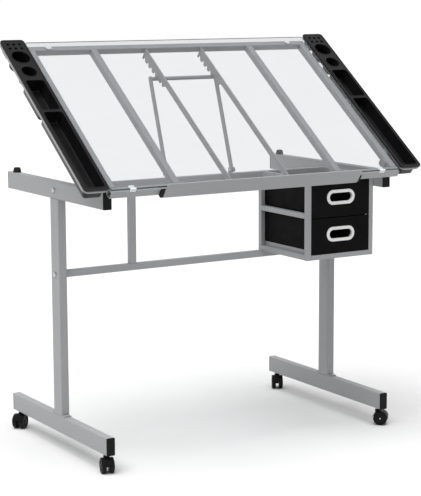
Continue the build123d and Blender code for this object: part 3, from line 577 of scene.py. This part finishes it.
def revolve(shape, section, start, end, steps):
    """Sweeps a closed (x, radius) section round the axle between two angles and closes its ends."""
    shape.join([shape.loop([(x, radius * cos(angle), radius * sin(angle)) for x, radius in section])
                for angle in sweep(start, end, steps)])


def hub_rib(shape, side, angle):
    """A tapered rib from a wheel's boss out to its tyre."""
    corners = []
    for radius, half, depth in RIB_ENDS:
        for across in (-half, half):
            y = radius * cos(angle) - across * sin(angle)
            z = radius * sin(angle) + across * cos(angle)
            corners += shape.loop([(side * (WHEEL_OUT - RIB_ROOT), y, z), (side * (WHEEL_OUT - depth), y, z)])
    a, b, c, d, e, f, g, h = corners
    for quad in ((a, b, d, c), (e, g, h, f), (a, e, f, b), (c, d, h, g), (b, f, h, d), (a, c, g, e)):
        shape.bm.faces.new(quad)


def wheel_pair(place, corner):
    """Two wheels with ribbed hubs."""
    shape = Shape(place)
    for side in (-1, 1):
        rings = [shape.loop([(side * x, y, z) for y, z in circle(radius, count=WHEEL_STEPS)])
                 for radius, x in WHEEL_SECTION]
        shape.join(rings, closed=True)
        for rib in range(RIBS):
            hub_rib(shape, side, 2 * pi * rib / RIBS)
    shape.finish(corner + "_wheel_pair", "wheel_black", corner + "_wheels", corner + "_caster_wheels",
                 smooth=40.0)


def hood(place, corner):
    """The moulded hood: a cover over the wheels, a web and a boss between them, and the swivel's collar."""
    shape = Shape(place)
    revolve(shape, HOOD_SECTION, 13.0, 167.0, 40)
    revolve(shape, WEB_SECTION, 12.0, 168.0, 36)
    revolve(shape, BOSS_SECTION, 166.0, 374.0, 28)
    rings = []
    for radius, height in COLLAR_SECTION:
        wide = min(radius, NECK_HALF) if height < NECK_TOP else radius
        rings.append(shape.loop([(max(-wide, min(wide, x)), y + TRAIL, height) for x, y in circle(radius)]))
    shape.join(rings, closed=True)
    shape.finish(corner + "_hood_moulding", "wheel_black", corner + "_caster", corner + "_caster_hood",
                 smooth=40.0)


def caster(corner):
    """Twin-wheel swivel caster."""
    roll = JOINTS[corner + "_roll"]
    axle = Vector(roll["axis"]).normalized()
    middle = Vector(roll["pos_m"])
    forward = Vector((0, 0, 1)).cross(axle)

    def place(x, y, z):
        return middle + axle * (x * MM) + forward * (y * MM) + Vector((0, 0, z * MM))

    wheel_pair(place, corner)
    hood(place, corner)


# ---- CAD nodes that stay -----------------------------------------------------------------------------
SOFTENED = {"foot_end_caps": 0.8, "beam_end_caps": 0.8, "ledge_glides": 0.5, "pencil_ledge": 0.4,
            "stay_legs": 0.5, "tilt_racks": 0.4, "hinge_ears": 0.5, "hinge_lugs": 0.5, "upper_drawer": 0.5,
            "lower_drawer": 0.5}
SHARP_EDGE = 30.0            # degrees
SAME_POINT = 0.02            # points closer than this are merged


def soften(node, width):
    """A small bevel on a CAD node's sharp edges."""
    piece = NODES[node]
    weld = piece.modifiers.new("weld", "WELD")
    weld.merge_threshold = SAME_POINT * MM
    bevel = piece.modifiers.new("bevel", "BEVEL")
    bevel.width = width * MM
    bevel.segments = 2
    bevel.limit_method = "ANGLE"
    bevel.angle_limit = radians(SHARP_EDGE)
    bevel.use_clamp_overlap = True


def dress_nodes():
    """Every CAD node gets its slot's finish, and some get softer edges."""
    for piece in NODES.values():
        for slot in piece.material_slots:
            slot.material = MATERIALS[slot.material.name.split(".")[0]]
    for node, width in SOFTENED.items():
        soften(node, width)


# ---- floor, light and camera ---------------------------------------------------------------------------
WORLD_LIT, WORLD_SEEN = 0.5, 1.0             # strength that lights the table, and that is seen behind it
FLOOR_HALF = 30.0                            # metres
SUN_TOWARDS = (0.25, 0.14, -1.0)
SUN_STRENGTH, SUN_ANGLE = 6.7, 60.0
CAMERA_PLACE = (-2.4610, -4.0396, 1.2980)
CAMERA_AZIMUTH, CAMERA_PITCH, CAMERA_ROLL = 31.54, 8.96, -0.24
CAMERA_LENS, CAMERA_SENSOR = 116.8, 36.0


def surround():
    """A white world, brighter where it is seen directly or through the glass than in the light it gives."""
    world = bpy.data.worlds.new("studio")
    bpy.context.scene.world = world
    world.use_nodes = True
    tree = world.node_tree
    lit = tree.nodes["Background"]
    seen = tree.nodes.new("ShaderNodeBackground")
    for node, strength in ((lit, WORLD_LIT), (seen, WORLD_SEEN)):
        node.inputs["Color"].default_value = (1, 1, 1, 1)
        node.inputs["Strength"].default_value = strength
    path = tree.nodes.new("ShaderNodeLightPath")
    either = tree.nodes.new("ShaderNodeMath")
    either.operation = "MAXIMUM"
    tree.links.new(path.outputs["Is Camera Ray"], either.inputs[0])
    tree.links.new(path.outputs["Is Transmission Ray"], either.inputs[1])
    mix = tree.nodes.new("ShaderNodeMixShader")
    tree.links.new(either.outputs[0], mix.inputs[0])
    tree.links.new(lit.outputs[0], mix.inputs[1])
    tree.links.new(seen.outputs[0], mix.inputs[2])
    tree.links.new(mix.outputs[0], tree.nodes["World Output"].inputs["Surface"])


def floor():
    mesh = bpy.data.meshes.new("floor")
    corners = [(x * FLOOR_HALF, y * FLOOR_HALF, 0) for x, y in ((-1, -1), (1, -1), (1, 1), (-1, 1))]
    mesh.from_pydata(corners, [], [(0, 1, 2, 3)])
    mesh.materials.append(floor_paper("floor_paper"))
    sheet = bpy.data.objects.new("floor", mesh)
    COLLECTION.objects.link(sheet)


def sun():
    """One wide, soft lamp overhead. It is hidden from mirror rays, or its image would fill the glass."""
    data = bpy.data.lights.new("overhead", "SUN")
    data.energy = SUN_STRENGTH
    data.angle = radians(SUN_ANGLE)
    lamp = bpy.data.objects.new("overhead", data)
    COLLECTION.objects.link(lamp)
    lamp.rotation_euler = Vector(SUN_TOWARDS).to_track_quat("-Z", "Y").to_euler()
    lamp.visible_glossy = False
    lamp.visible_transmission = False


def camera():
    data = bpy.data.cameras.new("camera")
    data.lens = CAMERA_LENS
    data.sensor_width = CAMERA_SENSOR
    data.dof.use_dof = False
    eye = bpy.data.objects.new("camera", data)
    COLLECTION.objects.link(eye)
    a, p, r = radians(CAMERA_AZIMUTH), radians(CAMERA_PITCH), radians(CAMERA_ROLL)
    ahead = Vector((sin(a) * cos(p), cos(a) * cos(p), -sin(p)))
    right = Vector((cos(a), -sin(a), 0))
    up = right.cross(ahead)
    axes = (right * cos(r) + up * sin(r), up * cos(r) - right * sin(r), -ahead)
    turn = Matrix([[axis[k] for axis in axes] for k in range(3)]).to_4x4()
    eye.matrix_world = Matrix.Translation(CAMERA_PLACE) @ turn
    bpy.context.scene.camera = eye
    bpy.context.scene.view_settings.view_transform = "Standard"


dress_nodes()
for side in ("left", "right"):
    tray(side)
glass()
pads()
stops()
bumpers()
welds()
for corner in ("front_left", "rear_left", "front_right", "rear_right"):
    caster(corner)
surround()
floor()
sun()
camera()
